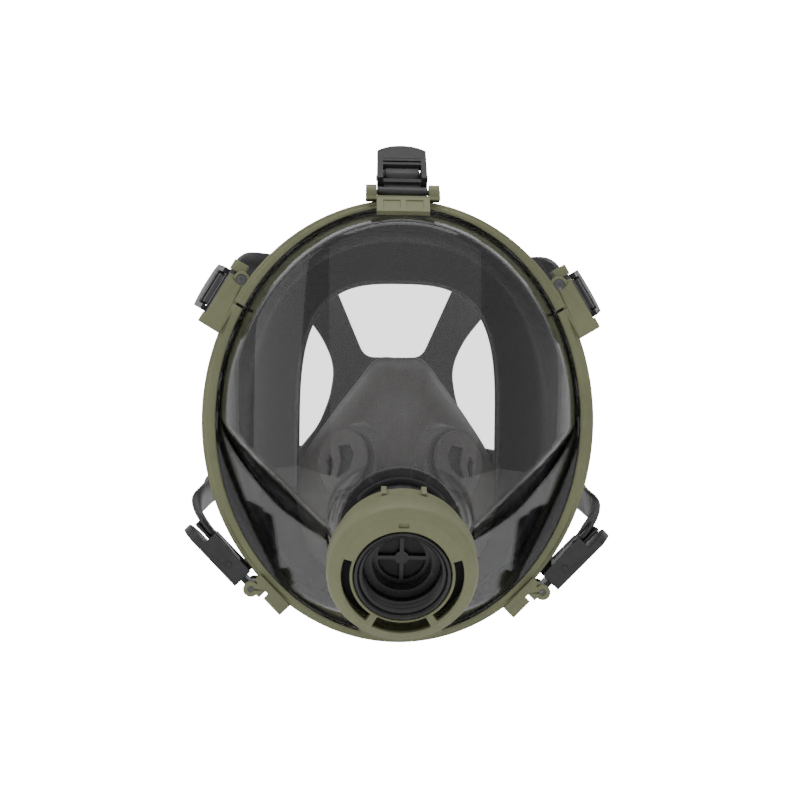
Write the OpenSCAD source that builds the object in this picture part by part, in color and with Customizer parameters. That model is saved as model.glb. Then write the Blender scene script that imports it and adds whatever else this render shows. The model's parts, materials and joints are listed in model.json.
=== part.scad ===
// Full face respirator: a clear panoramic visor clamped in an olive rim with a
// rubber face seal, an inner mask for nose and mouth with its own valves, a
// threaded filter connector, and a five-strap rubber head harness held by
// roller buckles. Front faces -Y, up is +Z, the origin is the rim's centre.

/* [Rim] */
// Half width of the rim's outer oval
rim_a = 103; // [98:0.1:106]
// Half height of the rim's outer oval
rim_b = 113; // [110:0.5:116]
// How far the sides of the rim lie behind its top and bottom
rim_sweep = 30; // [26:1:32]
// Depth of the rim's channel from its front lip to its back lip
rim_depth = 12; // [11:0.5:13]
// Thickness of the rim's walls
rim_wall = 2; // [1.8:0.1:2.1]

/* [Visor] */
// Height of the visor's front above the rim's front plane
visor_rise = 42; // [40:0.5:44]
// Radius of the visor's front around the face
visor_radius = 100; // [98:1:106]
// Wall thickness of the visor, measured from front to back
visor_wall = 2.4; // [2:0.1:2.6]
// Slope of the visor's side walls
visor_slope = 2.8; // [2.6:0.1:3.2]

/* [Face seal] */
// Half width of the seal's face opening
face_w = 52; // [50:0.5:54]
// Height of the face opening's top above the origin
face_top = 72; // [70:0.5:74]
// Depth of the face opening's bottom below the origin
face_bottom = 82; // [80:0.5:84]
// How far the seal bulges behind the rim
seal_depth = 42; // [38:1:44]
// Thickness of the seal
seal_wall = 2.6; // [2:0.1:2.8]

/* [Connector] */
// Downward tilt of the connector
tilt = 23; // [20:0.5:25]
// Radius of the front cover
cover_r = 36; // [35:0.5:37]
// Radius of the thread crests inside the connector
thread_r = 18.6; // [18.4:0.1:18.8]
// Distance between two turns of the thread
thread_pitch = 3.63; // [3.5:0.01:3.7]
// Radius of the neck that passes through the visor
neck_r = 24; // [23:0.5:24.5]

/* [Buckles] */
// Width of a buckle
buckle_w = 26; // [25:0.5:26.5]
// Length of a buckle from its hinge to its thumb tab's end
buckle_l = 46; // [44:0.5:47]
// Thickness of a buckle's side rails
buckle_t = 11; // [10:0.5:11.5]
// Radius of hinge pins and roller axles
pin_r = 1.5; // [1.2:0.1:1.6]
// Radial clearance of a pin or an axle in its bore
pin_play = 0.06; // [0.02:0.01:0.09]
// How far the top buckle leans back from the vertical
top_lean = 58; // [52:1:62]
// How far the temple buckles lean outwards from the straight back
temple_lean = 12; // [10:1:16]

/* [Harness] */
// Width of the rubber straps
strap_w = 18; // [16:0.5:19]
// Thickness of the rubber straps
strap_t = 2; // [1.8:0.1:2.4]

/* [Hidden] */
olive = [0.36, 0.37, 0.26];
black = [0.07, 0.07, 0.08];
charcoal = [0.15, 0.15, 0.16];
$fn = 64;

// Centre of the connector's front face
mouth = [0, -85, -72.3];
// Where the neck's hole in the visor has its centre
neck_z = -53;
// Height and tilt of the visor's flat boss around that hole
boss_rise = 40.3;
boss_tilt = 4.2;
// Angles on the rim, from its top, where the lugs sit
temple_t = 57;
cheek_t = 137;
// Ends of the two rim halves, on each side of the temple screws
split_t = 57.5;
// Gap between the rim halves, as an angle
split_gap = 0.4;
// Centre of a valve on the inner mask's right side, and how it faces
valve_at = [27, -21.5, -20];
valve_turn = 38;
valve_lift = 8;
// Front of the inner mask, where the neck enters it
cup_y = -30;
cup_hole_z = -49;
cup_hole_r = 25.4;
// Bore radius for the pins and axles
bore_r = pin_r + pin_play;
// Where the ears of a lug begin and end, from the middle of its pin
ear_in = buckle_w / 2 + 0.4;
ear_out = ear_in + 5.6;
// Where the roller's axle lies along the buckle
roller_at = 17;
// Back of the harness plate, and the radius it is bent to
plate_y = 163;
plate_bend = 95;
// Hinge pins: where each lies in its lug, outwards and backwards
top_pin = [5, 8];
temple_pin = [8, 9];
cheek_pin = [7, 9];

// ---- shared functions ----

function unit(v) = v / norm(v);

// Outward direction of the rim's oval at angle t, in X and Z
function rim_out(t) = unit([sin(t) / rim_a, cos(t) / rim_b]);

// Point of the rim at angle t, moved outwards by u and back by v
function rim_point(t, u = 0, v = 0) =
    let (n = rim_out(t), x = rim_a * sin(t), z = rim_b * cos(t))
    [x + u * n[0], rim_sweep * pow(sin(t), 2) + v, z + u * n[1]];

// A rounded oval: exponent n makes its corners squarer
function oval(t, w, h, n) =
    let (k = pow(pow(abs(sin(t)), n) + pow(abs(cos(t)), n), -1 / n))
    [w * sin(t) * k, h * cos(t) * k];

// The lower of two heights, rounded where they meet
function soft_min(a, b, k) =
    let (h = max(0, k - abs(a - b)) / k) min(a, b) - h * h * k / 4;

// A smooth curve through points, with several steps between two of them
function curve(p, steps) = [
    for (i = [0 : len(p) - 2], s = [0 : steps - 1])
        let (a = p[max(0, i - 1)], b = p[i], c = p[i + 1],
            d = p[min(len(p) - 1, i + 2)], f = s / steps)
        ((2 * b) + (c - a) * f + (2 * a - 5 * b + 4 * c - d) * f * f
            + (3 * b - a - 3 * c + d) * f * f * f) / 2,
    p[len(p) - 1]];

// A closed solid through a row of rings with the same number of points
module skin(rings, loop = false) {
    k = len(rings[0]);
    n = len(rings);
    sides = [for (i = [0 : loop ? n - 1 : n - 2], j = [0 : k - 1])
        let (a = i * k, b = ((i + 1) % n) * k, q = (j + 1) % k)
        each [[a + j, a + q, b + q], [a + j, b + q, b + j]]];
    ends = loop ? [] : [[for (j = [k - 1 : -1 : 0]) j],
        [for (j = [0 : k - 1]) (n - 1) * k + j]];
    polyhedron([for (r = rings) each r], concat(sides, ends));
}

// Puts its children on the right side of the rim: X outwards, Y back, Z along
// the rim towards its top
module on_rim(t) {
    n = rim_out(t);
    translate(rim_point(t)) rotate([0, -atan2(n[1], n[0]), 0]) children();
}

// Puts its children on the connector: Z out of its mouth, Y up
module on_connector() translate(mouth) rotate([90 + tilt, 0, 0]) children();

// The left side is the right side's mirror image
module on_side(side) {
    if (side == "left") mirror([1, 0, 0]) children();
    else children();
}

// ---- visor ----

// Height of the visor's front at x and z
function front_height(x, z) = visor_rise - visor_radius
    + sqrt(visor_radius * visor_radius - min(x * x, 9400)) - pow(z + 20, 2) / 900;

// Width of the rim's front lip: narrow at the top, wide at the sides
function lip_width(sideways) = 3.6 + 3.4 * sideways;

// How far the rim's direction from the centre points sideways, squared
function sideways(x, z) = pow(x / rim_a / norm([x / rim_a, z / rim_b]), 2);

// The flat flange under the rim's lip
function flange_height(x, z) = 2.6 - rim_sweep * sideways(x, z);

// The side wall that rises inside that flange
function wall_height(x, z) =
    let (away = (1 / norm([x / rim_a, z / rim_b]) - 1) * norm([x, z]))
    visor_slope * max(0, away - 1 - lip_width(sideways(x, z))) + flange_height(x, z);

// The flat cheek panels, set back below a slanting crease
function cheek_height(x, z) =
    let (w = -abs(x), d = -0.674 * (w + 89) - 0.738 * (z + 4))
    d < 0 ? 200 : max(73.5 + 1.0366 * w + 0.2284 * z, front_height(x, z) - 2 * d);

// The flat boss around the neck's hole
function boss_height(z) = boss_rise + tan(boss_tilt) * (z - neck_z);

function visor_height(x, z) =
    let (h = soft_min(soft_min(front_height(x, z), cheek_height(x, z), 3),
            wall_height(x, z), 4),
        f = min(1, max(0, (37 - norm([x, z - neck_z])) / 5)))
    lerp(max(h, flange_height(x, z)), boss_height(z), f);

// One row of points from the neck's hole to the rim, with the last ones placed by the
// width of the flange under the rim's lip
function visor_row(t) =
    let (hole = [25.3 * sin(t), neck_z + 27.2 * cos(t)], edge = rim_point(t, -2.7),
        across = [edge[0] - hole[0], edge[2] - hole[1]],
        flange = 1 - (lip_width(pow(sin(t), 2)) - 1.9) / norm(across))
    [for (s = [0, 0.06, 0.13, 0.27, 0.42, 0.57, 0.7, 0.8, 0.87, lerp(0.87, flange, 0.5),
            flange, 1])
        let (x = hole[0] + across[0] * s, z = hole[1] + across[1] * s)
        [x, -visor_height(x, z), z]];

module visor() color([0.8, 0.82, 0.84, 0.35])
    skin([for (i = [0 : 63]) let (row = visor_row(i * 360 / 64), m = len(row))
        concat(row, [for (j = [m - 1 : -1 : 0]) row[j] + [0, visor_wall, 0]])],
        loop = true);

// ---- rim and lugs ----

// The channel that clamps the visor and the seal, from its outer front edge
function rim_ring(t) = [for (lip = -lip_width(pow(sin(t), 2)),
        p = [[0, -5], [lip, -5], [lip, rim_wall - 5],
        [-rim_wall, rim_wall - 5], [-rim_wall, rim_depth - 5 - rim_wall],
        [-5, rim_depth - 5 - rim_wall], [-5, rim_depth - 5], [0, rim_depth - 5]])
    rim_point(t, p[0], p[1])];

module rim_upper() color(olive) {
    reach = split_t - split_gap;
    skin([for (i = [-20 : 20]) rim_ring(i * reach / 20)]);
}

module rim_lower() color(olive) {
    reach = 180 - split_t - split_gap;
    skin([for (i = [-36 : 36]) rim_ring(180 + i * reach / 36)]);
}

// Two ears with a bore along Z, joined to the rim by a bar; foot is the side
// of the pin where the bar lies
module ears(foot_x, foot_y) {
    difference() {
        for (s = [-1, 1]) translate([0, 0, s * (ear_in + ear_out) / 2]) {
            cylinder(h = ear_out - ear_in, r = 4, center = true);
            translate([min(0, foot_x), min(0, foot_y), (ear_in - ear_out) / 2])
                cube([max(4, abs(foot_x)), max(4, abs(foot_y)), ear_out - ear_in]);
        }
        cylinder(h = 3 * ear_out, r = bore_r, center = true);
    }
}

module on_tab() translate([0, -5.3, rim_b - 0.1]) rotate([-48.9, 0, 0]) children();

module top_clip() color(olive) difference() {
    union() {
        translate([0, top_pin[1], rim_b + top_pin[0]]) rotate([0, 90, 0])
            ears(5, -12);
        // bar over the rim's top
        translate([-ear_out, -8, rim_b]) cube([2 * ear_out, 16, 1.5]);
        // slanting tab over the visor's edge
        on_tab() translate([-13.5, -2.6, -13.4]) cube([27, 2.6, 13.4]);
    }
    // recessed panels on the tab
    for (s = [-1, 1]) on_tab() translate([s * 5.8 - 4.4, -3, -10.6]) cube([8.8, 1, 7]);
    // room under the bar for the rim's own crown
    translate([-ear_out - 1, -5.2, rim_b - 12]) cube([2 * ear_out + 2, 12.4, 12]);
    translate([0, top_pin[1], rim_b + top_pin[0]]) rotate([0, 90, 0])
        cylinder(h = 3 * ear_out, r = bore_r, center = true);
}

module temple_lug() on_rim(temple_t) difference() {
    union() {
        translate([temple_pin[0], temple_pin[1], 0]) ears(-5, -9);
        // plate beside the rim
        translate([-1.8, -3, -ear_out]) cube([11.3, 5.2, 2 * ear_out - 8]);
        translate([2.6, -3, ear_out - 8]) rotate([-90, 0, 0])
            cylinder(h = 5.2, r = 4.4);
    }
    // hole for the clamp screw
    translate([2.6, -4, ear_out - 8]) rotate([-90, 0, 0]) cylinder(h = 9, r = 1.6);
    translate([2.6, -3.1, ear_out - 8]) rotate([-90, 0, 0])
        cylinder(h = 1.9, r = 2.9);
    translate([temple_pin[0], temple_pin[1], 0])
        cylinder(h = 3 * ear_out, r = bore_r, center = true);
}

module cheek_lug() on_rim(cheek_t) difference() {
    union() {
        translate([cheek_pin[0], cheek_pin[1], 0]) rotate([-90, 0, 0])
            ears(-8.8, 6);
        // bar along the rim's depth
        translate([-1.8, cheek_pin[1] - ear_out, -9])
            cube([4.2, 2 * ear_out, 11]);
        // front web down the rim
        translate([-1.8, cheek_pin[1] - ear_out, -20]) cube([7.4, 5.6, 12]);
    }
    translate([cheek_pin[0], cheek_pin[1], 0]) rotate([-90, 0, 0])
        cylinder(h = 3 * ear_out, r = bore_r, center = true);
}

module temple_lug_left() color(olive) on_side("left") temple_lug();
module temple_lug_right() color(olive) on_side("right") temple_lug();
module cheek_lug_left() color(olive) on_side("left") cheek_lug();
module cheek_lug_right() color(olive) on_side("right") cheek_lug();

// Countersunk clamp screws at both temples
module rim_screws() color(charcoal) for (side = ["left", "right"])
    on_side(side) on_rim(temple_t) translate([2.6, -2.6, ear_out - 8])
        rotate([-90, 0, 0]) {
            difference() {
                cylinder(h = 1.3, r = 2.7);
                translate([0, 0, -0.5]) cylinder(h = 1.2, r = 1.2, $fn = 6);
            }
            translate([0, 0, 1]) cylinder(h = 5.4, r = pin_r);
        }

module pin() cylinder(h = 2 * ear_out, r = pin_r, center = true);

// The five pins that the buckles hinge on
module hinge_pins() color(charcoal) {
    translate([0, top_pin[1], rim_b + top_pin[0]]) rotate([0, 90, 0]) pin();
    for (side = ["left", "right"]) on_side(side) {
        on_rim(temple_t) translate([temple_pin[0], temple_pin[1], 0]) pin();
        on_rim(cheek_t) translate([cheek_pin[0], cheek_pin[1], 0])
            rotate([90, 0, 0]) pin();
    }
}

// ---- face seal ----

// Height and width of the face opening's oval around its own centre
face_h = (face_top + face_bottom) / 2;
face_z = (face_top - face_bottom) / 2;

// The seal's path from the rim's channel back along the face and in to the
// opening's edge: distance from the channel, and distance behind the rim
function seal_path(l, lip) = [[0, 1.3], [3.4, 1.4], [4.9, 4.5], [5.2, 12],
    [5.8, 20], [8, 30], [4 + 0.12 * l, 37], [4 + 0.2 * l, 40.5],
    [2 + 0.34 * l, seal_depth], [0.5 * l, seal_depth - 1.5],
    [0.68 * l, lerp(lip, seal_depth, 0.6)], [0.86 * l, lerp(lip, seal_depth, 0.24)],
    [l, lip]];

function lerp(a, b, f) = a + (b - a) * f;

// The seal's closed outline in one section: the path with its thickness
function seal_outline(l, lip) =
    let (p = seal_path(l, lip), m = len(p) - 1,
        side = [for (i = [0 : m])
            let (d = unit(p[min(m, i + 1)] - p[max(0, i - 1)]))
            [-d[1], d[0]] * seal_wall / 2])
    concat([for (i = [0 : m]) p[i] - side[i]], [for (i = [m : -1 : 0]) p[i] + side[i]]);

function seal_ring(t) =
    let (from = rim_point(t, -2.9), e = oval(t, face_w, face_h, 3.2),
        way = [e[0] - from[0], e[1] + face_z - from[2]], l = norm(way),
        lip = 30 - 14 * pow(sin(t), 2))
    [for (p = seal_outline(l, lip))
        [from[0] + way[0] / l * p[0], from[1] + p[1], from[2] + way[1] / l * p[0]]];

module face_seal() color(black)
    skin([for (i = [0 : 55]) seal_ring(-i * 360 / 56)], loop = true);

// ---- inner mask ----

// Right half of the cup's edge against the face, from the nose to the chin
cup_edge = curve([[0, 17, 32.5], [12, 17, 32], [22, 20, 20], [36, 27, 1],
    [47, 33, -16], [52, 36, -32], [51, 34, -52], [43, 30, -72], [24, 25, -86],
    [0, 23, -90]], 3);

cup_loop = concat(cup_edge, [for (i = [len(cup_edge) - 2 : -1 : 1])
    [-cup_edge[i][0], cup_edge[i][1], cup_edge[i][2]]]);

// One row of points from the neck's hole to the edge
function cup_row(edge) =
    let (way = unit([edge[0], edge[2] - cup_hole_z]))
    [for (s = [0, 0.1, 0.24, 0.4, 0.56, 0.72, 0.87, 1])
        [lerp(way[0] * cup_hole_r, edge[0], s),
            lerp(cup_y, edge[1], pow(s, 1.7) * (1 - 0.12 * sin(180 * s))),
            lerp(cup_hole_z + way[1] * cup_hole_r * 1.08, edge[2], s)]];

module at_valve() translate(valve_at)
    rotate([90 - valve_lift, 0, valve_turn]) children();

module inner_mask() color([0.2, 0.19, 0.19]) difference() {
    skin([for (e = cup_loop) let (row = cup_row(e), m = len(row))
        concat(row, [for (j = [m - 1 : -1 : 0]) row[j] + [0, 2.2, 0]])],
        loop = true);
    for (side = ["left", "right"]) on_side(side) at_valve()
        cylinder(h = 40, r = 13.2, center = true);
}

// Round cage with two chevron windows over an inhalation disc
module valve_cage() at_valve() difference() {
    union() {
        cylinder(h = 3.2, r = 15.5);
        translate([0, 0, -6]) cylinder(h = 7, r = 13);
    }
    translate([0, 0, -7]) cylinder(h = 8.6, r = 11.4);
    for (s = [-6.4, 1.6]) linear_extrude(8, center = true) polygon([[s - 2.4, -7.4],
        [s + 1.4, -6.6], [s + 4, 1], [s + 1.4, 7.2], [s - 2.4, 6.8], [s + 0.6, 0.6]]);
}

module inner_disc() at_valve() translate([0, 0, 0.5]) cylinder(h = 1, r = 11);

module valve_cage_left() color(charcoal) on_side("left") valve_cage();
module valve_cage_right() color(charcoal) on_side("right") valve_cage();
module inner_disc_left() color([0.5, 0.5, 0.48]) on_side("left") inner_disc();
module inner_disc_right() color([0.5, 0.5, 0.48]) on_side("right") inner_disc();

// ---- connector ----

// An arc slot through the cover, from angle a to b, counted from straight down
module arc_slot(a, b, r1, r2, depth) translate([0, 0, -depth])
    rotate([0, 0, -90 + a]) rotate_extrude(angle = b - a)
        translate([r1, 0]) square([r2 - r1, depth + 1]);

module connector_cover() color(olive) on_connector() difference() {
    union() {
        rotate_extrude() polygon([[23.5, 0], [30.5, 0], [35, -2.2], [cover_r, -4.5],
            [cover_r, -16], [33.1, -16], [33.1, -12.9], [33.8, -12.9], [33.8, -5],
            [33, -2.6], [23.5, -2.2]]);
        // lip under the exhalation window
        translate([0, 0, -13]) rotate([0, 0, -122]) rotate_extrude(angle = 64)
            translate([cover_r - 1, 0]) square([3, 7]);
    }
    for (s = [-1, 1]) arc_slot(s > 0 ? 36 : -108, s > 0 ? 108 : -36, 25, 29, 4);
    arc_slot(-28, 28, 24.6, 30, 4);
    // witness notch at the top
    translate([-2.4, 25.6, -1]) cube([4.8, 2.2, 2]);
}

module rear_housing() color(olive) on_connector() difference() {
    union() {
        translate([0, 0, -28]) cylinder(h = 14.6, r = 33);
        for (s = [-10.5, 8.5]) translate([s, 30, -26]) cube([2.6, 5, 8]);
    }
    translate([0, 0, -29]) cylinder(h = 17, r = 23.6);
    // annular chamber behind the exhalation disc
    translate([0, 0, -26]) rotate_extrude() translate([25.6, 0]) square([4.8, 14]);
}

module connector_neck() color(black) difference() {
    union() {
        on_connector() translate([0, 0, -62]) cylinder(h = 33.8, r = neck_r);
        // flanges that clamp the edge of the visor's hole
        translate([0, -boss_rise, neck_z]) rotate([90 + boss_tilt, 0, 0]) {
            translate([0, 0, 0.3]) cylinder(h = 2.2, r = 30);
            translate([0, 0, -visor_wall - 2.6]) cylinder(h = 2.2, r = 29.5);
        }
    }
    on_connector() translate([0, 0, -66]) cylinder(h = 40, r = 20);
}

module thread_insert() color(black) on_connector() difference() {
    union() {
        translate([0, 0, -27.6]) cylinder(h = 28.2, r = 23);
    }
    rotate_extrude() polygon(concat([[0, 2], [thread_r + 2, 2], [thread_r + 1.6, 0.6],
        [thread_r, -0.8]], [for (i = [0 : 2]) let (z = -1.2 - i * thread_pitch)
        each [[thread_r, z], [thread_r + 1.6, z - 1], [thread_r + 1.6, z - 1.5],
            [thread_r, z - 2.5]]], [[thread_r, -12.9], [thread_r + 0.6, -12.9],
        [thread_r + 0.6, -15], [14, -15], [14, -30], [0, -30]]));
}

module filter_gasket() color(charcoal) on_connector() translate([0, 0, -15])
    difference() {
        cylinder(h = 2, r = thread_r - 0.2);
        translate([0, 0, -1]) cylinder(h = 4, r = 14.2);
    }

// Spoked seat of the inhalation valve
module inhale_seat() color(charcoal) on_connector() translate([0, 0, -22])
    difference() {
        cylinder(h = 2.4, r = 13.9);
        difference() {
            translate([0, 0, -1]) cylinder(h = 5, r = 11.6);
            cylinder(h = 2.4, r = 3.4);
            for (a = [0, 90]) rotate([0, 0, a])
                translate([-12, -1, 0]) cube([24, 2, 2.4]);
        }
    }

module inhale_disc() color([0.3, 0.3, 0.3]) on_connector()
    translate([0, 0, -23.4]) cylinder(h = 1.1, r = 12.6);

module exhale_disc() color([0.3, 0.3, 0.3]) on_connector() translate([0, 0, -13.2])
    difference() {
        cylinder(h = 1.2, r = 31.4);
        translate([0, 0, -1]) cylinder(h = 4, r = 24.3);
    }

// ---- buckles ----

// A buckle's pieces lie along +Z from the hinge on the X axis, with the
// outer face towards -Y and the strap behind
module buckle() difference() {
    w = buckle_w / 2;
    t = buckle_t / 2;
    union() {
        rotate([0, 90, 0]) cylinder(h = 2 * w - 0.4, r = 3, center = true);
        // hook plate and lower bar
        translate([-w + 3.4, -1.5, 0]) cube([2 * w - 6.8, 3, 9]);
        translate([-w, -3, 6.5]) cube([2 * w, 6, 4]);
        // side rails
        for (s = [0, 1]) mirror([s, 0, 0]) translate([w - 3, -t, 6.5])
            cube([3, 2 * t, 27]);
        // ribs across the window
        for (z = [22.4, 27]) translate([-w, -t, z]) cube([2 * w, 3.4, 2.6]);
        // thumb tab with a round end
        translate([0, -t + 4, 0]) rotate([90, 0, 0]) linear_extrude(4) intersection() {
            translate([0, buckle_l - 16]) circle(r = 16);
            translate([-w, 30]) square([2 * w, 20]);
        }
    }
    rotate([0, 90, 0]) cylinder(h = 40, r = bore_r, center = true);
    translate([0, 0, roller_at]) rotate([0, 90, 0])
        cylinder(h = 40, r = bore_r, center = true);
}

// Roller that grips the strap, with its axle in one piece
module roller() translate([0, 0, roller_at]) rotate([0, 90, 0]) {
    cylinder(h = buckle_w - 6.6, r = 3.1, center = true);
    cylinder(h = buckle_w + 1.2, r = pin_r, center = true);
}

// Stretch of strap behind the roller
module strap_end() translate([-strap_w / 2, 3.5, 12]) cube([strap_w, strap_t, 31]);

module on_top_hinge() translate([0, top_pin[1], rim_b + top_pin[0]])
    rotate([-top_lean, 0, 0]) children();

module on_temple_hinge(side) on_side(side) on_rim(temple_t)
    translate([temple_pin[0], temple_pin[1], 0]) rotate([0, 0, -temple_lean])
    rotate([0, 90, 0]) rotate([-90, 0, 0]) children();

module on_cheek_hinge(side) on_side(side) on_rim(cheek_t)
    translate([cheek_pin[0], cheek_pin[1], 0]) rotate([0, 0, 90]) children();

module buckle_top() color(charcoal) on_top_hinge() buckle();
module buckle_temple_left() color(charcoal) on_temple_hinge("left") buckle();
module buckle_temple_right() color(charcoal) on_temple_hinge("right") buckle();
module buckle_cheek_left() color(charcoal) on_cheek_hinge("left") buckle();
module buckle_cheek_right() color(charcoal) on_cheek_hinge("right") buckle();

module roller_top() color(black) on_top_hinge() roller();
module roller_temple_left() color(black) on_temple_hinge("left") roller();
module roller_temple_right() color(black) on_temple_hinge("right") roller();
module roller_cheek_left() color(black) on_cheek_hinge("left") roller();
module roller_cheek_right() color(black) on_cheek_hinge("right") roller();

module strap_end_top() color(black) on_top_hinge() strap_end();
module strap_end_temple_left() color(black) on_temple_hinge("left") strap_end();
module strap_end_temple_right() color(black) on_temple_hinge("right") strap_end();
module strap_end_cheek_left() color(black) on_cheek_hinge("left") strap_end();
module strap_end_cheek_right() color(black) on_cheek_hinge("right") strap_end();

// ---- harness ----

// A flat strap through points, its width turning from one direction to another
module ribbon(route, from, to, w = strap_w, t = strap_t) {
    p = curve(route, 4);
    m = len(p) - 1;
    skin([for (i = [0 : m])
        let (along = unit(p[min(m, i + 1)] - p[max(0, i - 1)]),
            rough = lerp(from, to, i / m), across = unit(rough - along * (rough * along)),
            up = cross(along, across))
        [for (c = [[-1, -1], [1, -1], [1, 1], [-1, 1]])
            p[i] + across * c[0] * w / 2 + up * c[1] * t / 2]]);
}

// Right side of the plate's X, from the top arm down to the cheek strap and back in
plate_side = [[12, 102], [44, 98], [67, 93], [66, 75], [54, 62.5], [42, 47],
    [36.5, 35], [35, 26], [37, 12], [43, -2], [58, -12], [58, -31], [46, -26],
    [26, 0]];

// The plate at the back of the head: an X with a window between its arms,
// bent around the head
module harness_plate() color(black) intersection() {
    translate([0, plate_y - plate_bend, -40]) difference() {
        cylinder(h = 160, r = plate_bend);
        translate([0, 0, -1]) cylinder(h = 162, r = plate_bend - 2.4);
    }
    translate([0, 200, 0]) rotate([90, 0, 0]) linear_extrude(80) difference() {
        polygon(concat(plate_side, [for (i = [len(plate_side) - 1 : -1 : 0])
            [-plate_side[i][0], plate_side[i][1]]]));
        polygon([[-17, 36], [17, 36], [38, 84], [-38, 84]]);
    }
}

module strap_top() color(black)
    ribbon([[0, 55, 144.5], [0, 78, 146], [0, 105, 142], [0, 132, 131],
        [0, 151, 117], [0, 160.6, 102.6]], [1, 0, 0], [1, 0, 0]);

module strap_temple() ribbon([[92, 83, 78], [87, 99, 83], [79, 116, 85],
    [68.6, 133.4, 84]], [-0.2, 0, 1], [0, 0, 1]);

module strap_cheek() ribbon([[108, 64, -43], [105, 90, -37], [93, 116, -32],
    [75, 136, -26], [55, 148.4, -21.5]], [-0.5, 0.6, 0.4], [0.1, 0, 1]);

module strap_temple_left() color(black) on_side("left") strap_temple();
module strap_temple_right() color(black) on_side("right") strap_temple();
module strap_cheek_left() color(black) on_side("left") strap_cheek();
module strap_cheek_right() color(black) on_side("right") strap_cheek();

visor();
rim_upper();
rim_lower();
rim_screws();
top_clip();
temple_lug_left();
temple_lug_right();
cheek_lug_left();
cheek_lug_right();
hinge_pins();
face_seal();
inner_mask();
valve_cage_left();
valve_cage_right();
inner_disc_left();
inner_disc_right();
connector_cover();
rear_housing();
connector_neck();
thread_insert();
filter_gasket();
inhale_seat();
inhale_disc();
exhale_disc();
buckle_top();
buckle_temple_left();
buckle_temple_right();
buckle_cheek_left();
buckle_cheek_right();
roller_top();
roller_temple_left();
roller_temple_right();
roller_cheek_left();
roller_cheek_right();
strap_end_top();
strap_end_temple_left();
strap_end_temple_right();
strap_end_cheek_left();
strap_end_cheek_right();
harness_plate();
strap_top();
strap_temple_left();
strap_temple_right();
strap_cheek_left();
strap_cheek_right();
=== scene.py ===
import json
import math

import bmesh
import bpy
from mathutils import Matrix, Vector


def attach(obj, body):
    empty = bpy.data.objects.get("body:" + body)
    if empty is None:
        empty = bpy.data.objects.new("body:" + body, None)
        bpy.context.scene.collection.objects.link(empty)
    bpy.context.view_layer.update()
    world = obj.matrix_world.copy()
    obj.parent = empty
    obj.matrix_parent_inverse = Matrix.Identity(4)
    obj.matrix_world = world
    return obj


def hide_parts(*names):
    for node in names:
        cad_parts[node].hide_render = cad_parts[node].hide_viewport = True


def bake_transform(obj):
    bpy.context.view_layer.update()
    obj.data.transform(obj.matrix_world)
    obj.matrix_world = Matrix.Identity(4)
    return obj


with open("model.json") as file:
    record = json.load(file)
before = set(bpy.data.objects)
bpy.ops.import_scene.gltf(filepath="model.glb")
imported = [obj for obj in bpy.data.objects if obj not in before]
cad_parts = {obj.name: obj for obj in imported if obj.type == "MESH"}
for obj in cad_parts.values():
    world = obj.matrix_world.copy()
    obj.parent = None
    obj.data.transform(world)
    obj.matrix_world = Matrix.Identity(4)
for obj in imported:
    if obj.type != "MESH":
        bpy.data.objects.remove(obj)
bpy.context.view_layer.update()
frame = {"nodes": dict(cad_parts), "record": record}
mm = 0.001
print("frame loaded")


# small helpers

def lerp(a, b, f):
    return a + (b - a) * f


def clamp(x):
    return min(1.0, max(0.0, x))


def smoothStep(x):
    x = clamp(x)
    return x * x * (3 - 2 * x)


def softMin(a, b, k):
    h = max(0.0, k - abs(a - b)) / k
    return min(a, b) - h * h * k / 4


def sinCos(degrees):
    return math.sin(math.radians(degrees)), math.cos(math.radians(degrees))


# a smooth curve through points, with a number of steps between two of them
def curveThrough(points, steps):
    p = [Vector(q) for q in points]
    out = []
    for i in range(len(p) - 1):
        a, b, c, d = p[max(0, i - 1)], p[i], p[i + 1], p[min(len(p) - 1, i + 2)]
        for s in range(steps):
            f = s / steps
            out.append((2 * b + (c - a) * f + (2 * a - 5 * b + 4 * c - d) * f * f
                        + (3 * b - a - 3 * c + d) * f ** 3) / 2)
    return out + [p[-1]]


# a closed outline with rounded corners, whose radii repeat along it
def roundCorners(points, radii, steps=4):
    out = []
    n = len(points)
    for i, point in enumerate(points):
        p, a, b = Vector(point), Vector(points[i - 1]), Vector(points[(i + 1) % n])
        r = min(radii[i % len(radii)], (a - p).length * 0.45, (b - p).length * 0.45)
        start, end = p + (a - p).normalized() * r, p + (b - p).normalized() * r
        for s in range(steps + 1):
            f = s / steps
            out.append(start.lerp(p, f).lerp(p.lerp(end, f), f))
    return out


# a grid whose points go where place says, welded where its sides meet
def mappedGrid(across, along, place):
    bm = bmesh.new()
    bmesh.ops.create_grid(bm, x_segments=across, y_segments=along, size=0.5)
    for v in bm.verts:
        v.co = Vector(place(clamp(v.co.x + 0.5), clamp(v.co.y + 0.5))) * mm
    bmesh.ops.remove_doubles(bm, verts=bm.verts, dist=0.02 * mm)
    return bm


# a tube through rings of points, open or closed along its way
def ringTube(rings, loop=False):
    rows = rings + [rings[0]] if loop else rings
    n = len(rows[0])

    def place(u, v):
        return rows[round(u * (len(rows) - 1))][round(v * n) % n]

    bm = mappedGrid(len(rows) - 1, n, place)
    if not loop:
        rim = [e for e in bm.edges if e.is_boundary]
        bmesh.ops.holes_fill(bm, edges=rim, sides=0)
    return bm


# flat faces inside closed outlines, in mm
def filledOutline(outlines):
    bm = bmesh.new()
    for outline in outlines:
        loop = [bm.verts.new(Vector(p) * mm) for p in outline]
        for i, v in enumerate(loop):
            bm.edges.new((v, loop[(i + 1) % len(loop)]))
    bmesh.ops.triangle_fill(bm, use_beauty=True, edges=bm.edges[:])
    return bm


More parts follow.
